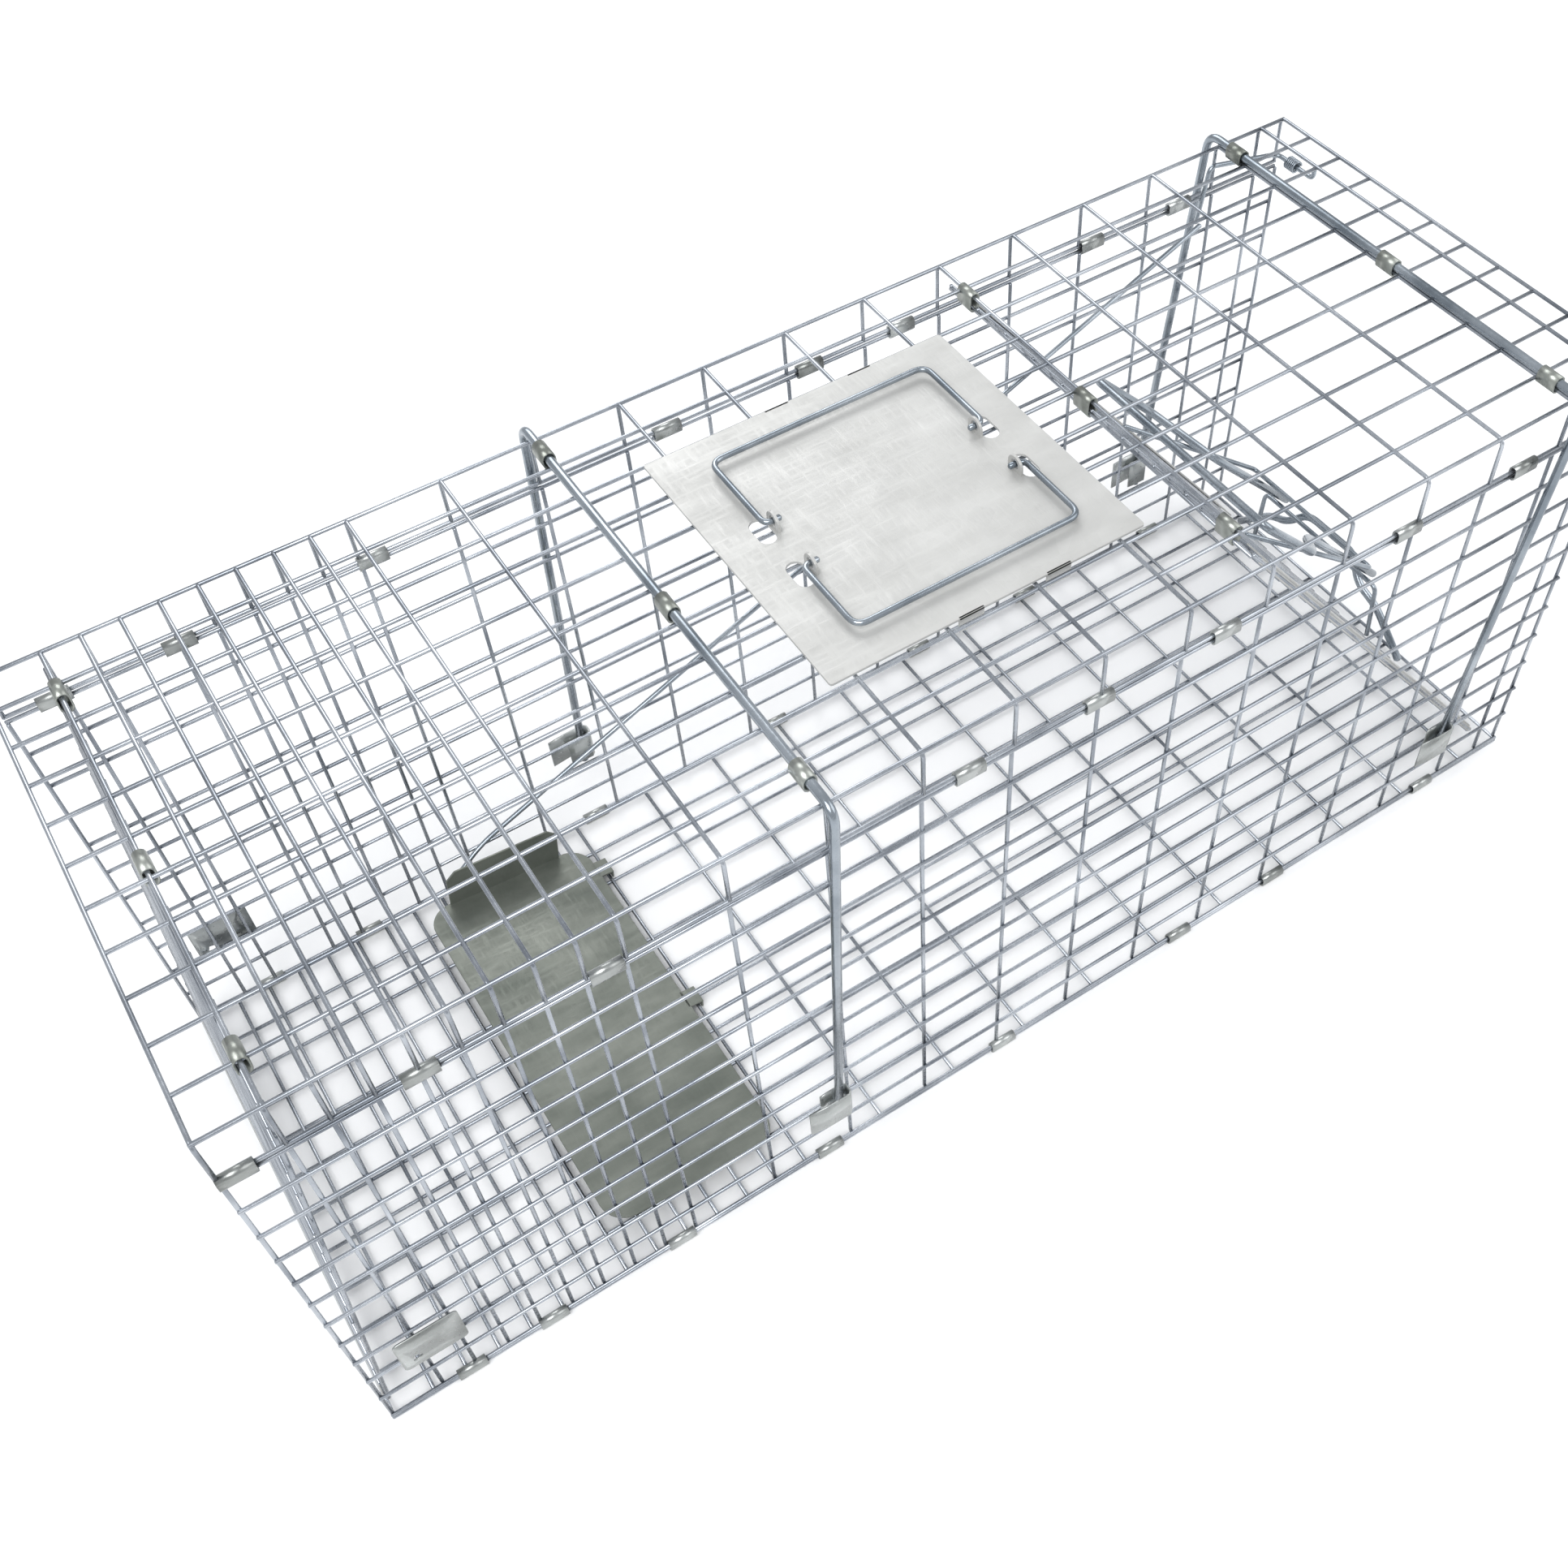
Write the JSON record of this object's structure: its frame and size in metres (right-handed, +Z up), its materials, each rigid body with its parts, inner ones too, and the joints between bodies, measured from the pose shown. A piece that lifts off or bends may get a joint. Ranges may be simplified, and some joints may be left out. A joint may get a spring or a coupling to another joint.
{
  "type": "live catch trap",
  "caption": "Folding welded-wire live catch trap with a sloping trip door, rear bait door, treadle pan, carry plate and hoops.",
  "frame": {"origin": "under the middle of the trap, on the plane it stands on", "axes": "+X along the length towards the front trip door, +Y across to the trigger rod's side, +Z up"},
  "size_m": [0.7802, 0.3042, 0.3242],
  "materials": {
    "mesh_zinc": "bright galvanised wire",
    "dull_zinc": "dull galvanised sheet",
    "sheet_zinc": "galvanised sheet with fine scratches",
    "clip_zinc": "galvanised sheet",
    "rod_zinc": "bright zinc plated rod",
    "pan_steel": "grey-green galvanised sheet"
  },
  "bodies": {
    "cage": {"carry_plate": "sheet_zinc", "floor_panel": "mesh_zinc", "front_door_band_1": "dull_zinc", "front_door_band_2": "dull_zinc", "front_door_band_3": "dull_zinc", "front_hoop_band_1": "dull_zinc", "front_hoop_band_2": "dull_zinc", "front_hoop_band_3": "dull_zinc", "front_hoop_catch_far": "sheet_zinc", "front_hoop_catch_near": "sheet_zinc", "hinge_clip_bottom_far_1": "clip_zinc", "hinge_clip_bottom_far_2": "clip_zinc", "hinge_clip_bottom_far_3": "clip_zinc", "hinge_clip_bottom_far_4": "clip_zinc", "hinge_clip_bottom_near_1": "clip_zinc", "hinge_clip_bottom_near_2": "clip_zinc", "hinge_clip_bottom_near_3": "clip_zinc", "hinge_clip_bottom_near_4": "clip_zinc", "hinge_clip_top_far_1": "clip_zinc", "hinge_clip_top_far_2": "clip_zinc", "hinge_clip_top_far_3": "clip_zinc", "hinge_clip_top_far_4": "clip_zinc", "hinge_clip_top_near_1": "clip_zinc", "hinge_clip_top_near_2": "clip_zinc", "hinge_clip_top_near_3": "clip_zinc", "hinge_clip_top_near_4": "clip_zinc", "rear_door_band_1": "dull_zinc", "rear_door_band_2": "dull_zinc", "rear_door_band_3": "dull_zinc", "rear_door_tab_far": "sheet_zinc", "rear_door_tab_near": "sheet_zinc", "rear_hoop_band_1": "dull_zinc", "rear_hoop_band_2": "dull_zinc", "rear_hoop_band_3": "dull_zinc", "rear_hoop_catch_far": "sheet_zinc", "rear_hoop_catch_near": "sheet_zinc", "roof_panel": "mesh_zinc", "roof_skirt_far": "mesh_zinc", "roof_skirt_near": "mesh_zinc", "side_panel_far": "mesh_zinc", "side_panel_near": "mesh_zinc"},
    "front_door": {"front_door_mesh": "mesh_zinc", "front_door_strip_far": "sheet_zinc", "front_door_strip_near": "sheet_zinc", "lock_bar": "rod_zinc", "lock_bracket": "rod_zinc"},
    "lock_frame": {"lock_frame": "rod_zinc"},
    "lock_link": {"lock_link": "rod_zinc"},
    "rear_door": {"rear_door_foot_strip": "sheet_zinc", "rear_door_mesh": "mesh_zinc"},
    "rear_hoop": {"rear_hoop": "rod_zinc"},
    "front_hoop": {"front_hoop": "rod_zinc"},
    "carry_bail_near": {"carry_bail_near": "rod_zinc"},
    "carry_bail_far": {"carry_bail_far": "rod_zinc"},
    "trip_pan": {"trip_pan": "pan_steel"},
    "trigger_rod": {"trigger_rod": "rod_zinc"},
    "trigger_catch": {"trigger_catch": "rod_zinc", "catch_spring": "rod_zinc"}
  },
  "joints": [
    {"name": "front_door_swing", "type": "hinge", "parent": "cage", "child": "front_door", "pos_m": [0.1385, 0, 0.306], "axis": [0, -1, 0], "range_deg": [0, 43]},
    {"name": "lock_frame_fold", "type": "hinge", "parent": "front_door", "child": "lock_frame", "pos_m": [0.3508, 0, 0.0965], "axis": [0, -1, 0], "range_deg": [-47.2, 0]},
    {"name": "lock_link_fold", "type": "hinge", "parent": "front_door", "child": "lock_link", "pos_m": [0.2111, 0, 0.22066], "axis": [0, 1, 0], "range_deg": [-29, 0]},
    {"name": "rear_door_swing", "type": "hinge", "parent": "cage", "child": "rear_door", "pos_m": [-0.361, 0, 0.306], "axis": [0, 1, 0], "range_deg": [0, 76]},
    {"name": "rear_hoop_swing", "type": "hinge", "parent": "cage", "child": "rear_hoop", "pos_m": [-0.1115, 0, 0.3161], "axis": [0, 1, 0], "range_deg": [0, 90]},
    {"name": "front_hoop_swing", "type": "hinge", "parent": "cage", "child": "front_hoop", "pos_m": [0.3385, 0, 0.3161], "axis": [0, 1, 0], "range_deg": [0, 90]},
    {"name": "carry_bail_near_lift", "type": "hinge", "parent": "cage", "child": "carry_bail_near", "pos_m": [0.01525, -0.021, 0.3192], "axis": [-1, 0, 0], "range_deg": [0, 100]},
    {"name": "carry_bail_far_lift", "type": "hinge", "parent": "cage", "child": "carry_bail_far", "pos_m": [0.01525, 0.013, 0.3192], "axis": [1, 0, 0], "range_deg": [0, 100]},
    {"name": "trip_pan_tilt", "type": "hinge", "parent": "cage", "child": "trip_pan", "pos_m": [-0.142, 0, 0.0023], "axis": [0, -1, 0], "range_deg": [0, 5.5], "stiffness_Nm_per_rad": 0.5, "springref_deg": -22.92},
    {"name": "trigger_rod_pull", "type": "hinge", "parent": "trip_pan", "child": "trigger_rod", "pos_m": [-0.229, 0.1226, 0.031], "axis": [0, 1, 0], "range_deg": [0, 5]},
    {"name": "trigger_catch_turn", "type": "hinge", "parent": "cage", "child": "trigger_catch", "pos_m": [0.331, 0.1346, 0.303], "axis": [0, 1, 0], "range_deg": [0, 9]}
  ],
  "couplings": [
    {"joint": "lock_link_fold", "follows": "lock_frame_fold", "ratio": 0.61},
    {"joint": "trigger_rod_pull", "follows": "trip_pan_tilt", "ratio": 0.82},
    {"joint": "trigger_catch_turn", "follows": "trip_pan_tilt", "ratio": 1.5}
  ]
}
